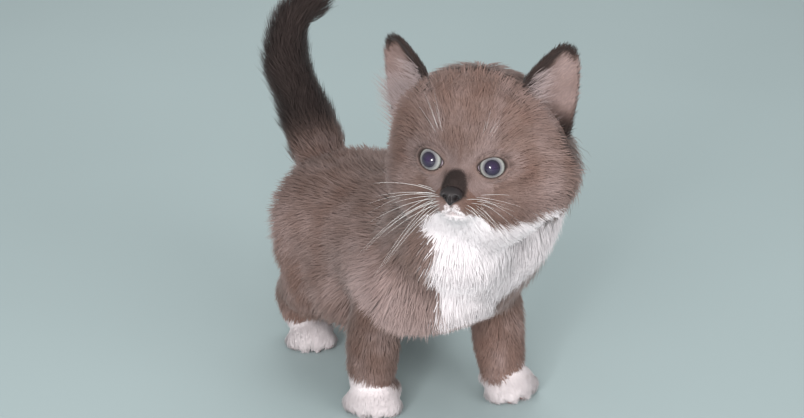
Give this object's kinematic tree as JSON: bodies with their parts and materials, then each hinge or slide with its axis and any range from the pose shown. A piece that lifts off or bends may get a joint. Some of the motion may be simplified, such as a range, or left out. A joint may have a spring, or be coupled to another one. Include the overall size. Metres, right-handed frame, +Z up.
{
  "type": "munchkin kitten model",
  "caption": "Still, life-size model of a young short-legged longhaired cat, standing with its tail raised and its face turned to its right.",
  "frame": {"origin": "on the floor, under the middle of the model's bounding box", "axes": "+Z up, -Y the way the body faces (head turned from it towards -X), +X the kitten's left"},
  "size_m": [0.0986, 0.2138, 0.1906],
  "materials": {
    "brown_coat": "soft matt fur",
    "dark_coat": "soft matt fur",
    "eye": "wet gloss",
    "nose": "slightly moist skin",
    "white_coat": "soft matt fur"
  },
  "bodies": {
    "root": {"paw_front_right": "white_coat", "paw_front_left": "white_coat", "paw_hind_right": "white_coat", "paw_hind_left": "white_coat", "leg_front_right": "brown_coat", "leg_front_left": "brown_coat", "leg_hind_right": "brown_coat", "leg_hind_left": "brown_coat", "tail_tip": "dark_coat", "tail_base": "dark_coat", "head": "brown_coat", "neck": "brown_coat", "chest": "white_coat", "torso": "brown_coat", "ear_left": "dark_coat", "eye_left": "eye", "ear_right": "dark_coat", "eye_right": "eye", "nose": "nose"}
  },
  "joints": []
}
